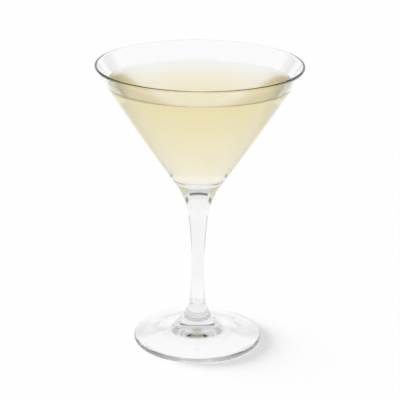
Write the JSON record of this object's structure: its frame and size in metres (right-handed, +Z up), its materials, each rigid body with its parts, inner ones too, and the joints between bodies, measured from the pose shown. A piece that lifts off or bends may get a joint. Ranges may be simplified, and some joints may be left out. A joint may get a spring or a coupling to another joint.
{
  "type": "martini cocktail",
  "caption": "Stemmed clear cocktail glass with a conical bowl, drawn stem and round foot, filled with a pale yellow drink.",
  "frame": {"origin": "centre of the foot's underside, on the surface that the glass stands on", "axes": "+Z up the stem to the rim; the shape is round about it, so +X and +Y are alike"},
  "size_m": [0.1158, 0.1158, 0.165],
  "materials": {
    "clear_glass": "clear colourless drinking glass, fire-polished and smooth",
    "pale_drink": "clear pale straw-yellow liquid, paler where it is thin"
  },
  "bodies": {
    "root": {"glass": "clear_glass", "drink": "pale_drink"}
  },
  "joints": []
}
